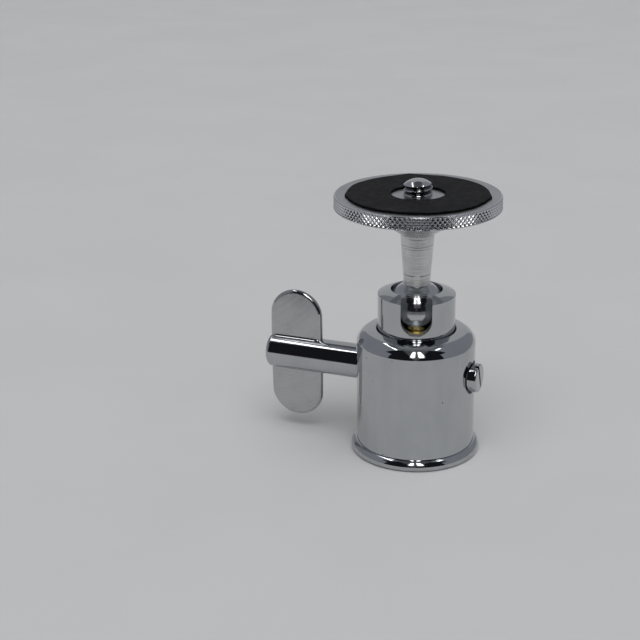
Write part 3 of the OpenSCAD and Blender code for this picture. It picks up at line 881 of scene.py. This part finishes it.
def cut_thread(name):
    """Turned steel: bright on the dome and the thread's crests, and painted dark as shade in its groove,
    which is the part that lies inside both the dome's sphere and the crests' cylinder."""
    material, shader, where = finish(name, Metallic=1.0)
    radius = where.stretch(1, 1, 0).length()
    from_middle = where.less((0.0, 0.0, (bolt_tip - tip_r) * MM)).length()
    in_dome = 1 - from_middle.step((tip_r - 0.2) * MM, (tip_r - 0.05) * MM)
    groove = in_dome * (1 - radius.step((bolt_r - 0.22) * MM, (bolt_r - 0.05) * MM))
    stain = where.noise(420, 4).step(0.35, 0.75)
    cut = where.stretch(0.1, 0.1, 1).noise(7000, 3)
    wire(
        shader,
        # The groove is painted dark as shade.
        Base_Color=groove.mix(stain.mix(bolt_bright, bolt_dull), groove_shade),
        Roughness=0.05 + 0.06 * stain + 0.08 * cut,
        Normal=cut.bump(fine_relief),
    )
    return material


bolt_shank = [(0, bolt_foot), (bolt_shank_r, bolt_foot), (bolt_shank_r, bolt_z)]
bolt_top = bolt_tip + thread_pitch / 20
bolt_cut, closed = threaded(
    bolt_r, bolt_thread, bolt_z, bolt_top, bolt_columns, bolt_rows_per_turn, bolt_start, run_out=False
)
bolt_grid = np.concatenate([spun(bolt_shank, bolt_columns)[0], domed(bolt_cut)])
camera_screw = shell("camera_screw_threaded", (bolt_grid, closed))
fit(camera_screw, cut_thread("thread_cut_steel"), "bright_steel", "platform", "camera_screw")


# Table, light and camera: a pale table, soft light from all round and a large lamp overhead. The chrome
# shows an open tent of white cloth, pale behind and greyer at the sides, with two strips of lamps in its
# roof, and past its open front a dark room with two tall lamps.
view_turn, view_yaw = np.radians(18.5), np.radians(4.2)
right = (np.cos(view_turn), np.sin(view_turn), 0.0)
front = (np.sin(view_turn), -np.cos(view_turn), 0.0)
table_half, table_front, table_lines = 4.0, 0.15, 9
paint_pale, paint_grey = (0.482, 0.485, 0.492, 1), (0.468, 0.471, 0.478, 1)
floor_dark = (0.02, 0.02, 0.022, 1)


def tabletop(name):
    """Pale painted top with a faint mottle. The chrome sees the dark room past its front edge."""
    material, shader, where = finish(name, Specular_IOR_Level=0.1)
    mottle = where.noise(18, 3).step(0.3, 0.7)
    beyond = where.along(front).step(table_front, table_front + 0.01) * where.ray("Is Glossy Ray")
    paint = mottle.mix(paint_pale, paint_grey)
    wire(shader, Base_Color=beyond.mix(paint, floor_dark), Roughness=0.7 + 0.1 * mottle)
    return material


table_line = np.linspace(-table_half, table_half, table_lines) / MM
table_xy = np.meshgrid(table_line, table_line, indexing="ij")
table = shell("table", (np.stack([*table_xy, 0 * table_xy[0]], -1), False))
table.data.materials.append(tabletop("tabletop"))

side_cloth, back_cloth = (0.265, 0.275, 0.305, 1), (0.455, 0.46, 0.475, 1)
room_dark, roof_dark = (0.012, 0.012, 0.015, 1), (0.10, 0.10, 0.108, 1)
strip_light, tall_light = (5.0, 5.0, 5.1, 1), (7.0, 7.0, 7.1, 1)
soft_light, thrown_light = (0.55, 0.55, 0.555, 1), (3.0, 3.0, 3.02, 1)
backdrop = (0.475, 0.478, 0.488, 1)
world = bpy.data.worlds.new("tent")
world.use_nodes = True
bpy.context.scene.world = world
sky = world.node_tree.nodes["Background"]
look = Tone(world.node_tree, world.node_tree.nodes.new("ShaderNodeTexCoord").outputs["Generated"])
rise, aside, ahead = look.axis(2), look.along(right), look.along(front)
roof_x, roof_y = aside / rise, ahead / rise
sideways = aside / ahead


def roof_strip(middle, half, near, far):
    """Mask of a lamp strip in the roof: a band across, between two ends."""
    band = 1 - abs(roof_x - middle).step(0.6 * half, half)
    return band * roof_y.step(near, near + 0.03) * (1 - roof_y.step(far, far + 0.03))


def tall_lamp(left_end, right_end):
    """Mask of a tall lamp in the dark room, seen through the open front: a band of bearings, between two
    heights."""
    band = sideways.step(left_end, left_end + 0.1) * (1 - sideways.step(right_end - 0.1, right_end))
    return band * ahead.step(0.0, 0.02) * rise.step(0.44, 0.7) * (1 - rise.step(0.92, 0.97))


back_wall = (-1.0 * ahead - 2.36 * abs(aside)).step(-0.02, 0.02)
opening = (1.38 + 1.5 * rise.step(0.6, 0.66)) * ahead - abs(aside)
dark = opening.step(0.0, 0.03) * (ahead - 0.07 * rise).step(0.0, 0.02)
walls = dark.mix(back_wall.mix(side_cloth, back_cloth), room_dark)
up = rise.step(0.05, 0.1)
roof_hole = up * (1 - abs(roof_x).step(0.25, 0.3)) * roof_y.step(-0.75, -0.7)
strips = up * (roof_strip(-0.43, 0.04, -0.7, 0.1) + roof_strip(0.44, 0.05, -0.16, 0.06))
tall_lamps = tall_lamp(-0.24, 0.0) + tall_lamp(0.07, 0.36)
tent = tall_lamps.mix(strips.mix(roof_hole.mix(walls, roof_dark), strip_light), tall_light)

# The tent is only what shiny surfaces mirror straight to the eye. The light that they throw on the table in
# front and to the right is stronger than the soft light all round, and the eye sees a plain backdrop.
glossy, scattered = look.ray("Is Glossy Ray"), look.ray("Diffuse Depth").step(0.4, 0.6)
thrown = glossy * scattered * (ahead + 0.6 * aside).step(0.1, 0.5)
plain = look.ray("Is Camera Ray").mix(thrown.mix(soft_light, thrown_light), backdrop)
wire(sky, Color=(glossy * (1 - scattered)).mix(plain, tent))
sky.inputs["Strength"].default_value = 1.0

lamp_size, lamp_watts = 3.2, 104.0
lamp_place, lamp_tilt = (0.7, -1.1, 4.0), np.radians(14)
overhead = bpy.data.lights.new("overhead_lamp", "AREA")
overhead.size, overhead.energy = lamp_size, lamp_watts
overhead_lamp = bpy.data.objects.new("overhead_lamp", overhead)
overhead_lamp.matrix_world = Matrix.Translation(lamp_place) @ Matrix.Rotation(lamp_tilt, 4, "X")
overhead_lamp.visible_glossy = False
bpy.context.scene.collection.objects.link(overhead_lamp)

focal_px, frame_px = 1400, 640
view_pitch, view_roll = np.radians(20.43), np.radians(0.7)
view_back, view_height = 296.48, 141.38
camera = bpy.data.objects.new("camera", bpy.data.cameras.new("camera"))
camera.data.lens = camera.data.sensor_width * focal_px / frame_px
camera.data.clip_start = 0.01
heading = Matrix.Rotation(view_turn + view_yaw, 4, "Z")
lean = Matrix.Rotation(np.pi / 2 - view_pitch, 4, "X") @ Matrix.Rotation(-view_roll, 4, "Z")
stand = Matrix.Translation((front[0] * view_back * MM, front[1] * view_back * MM, view_height * MM))
camera.matrix_world = stand @ heading @ lean
bpy.context.scene.collection.objects.link(camera)
bpy.context.scene.camera = camera
bpy.context.scene.view_settings.view_transform = "Standard"
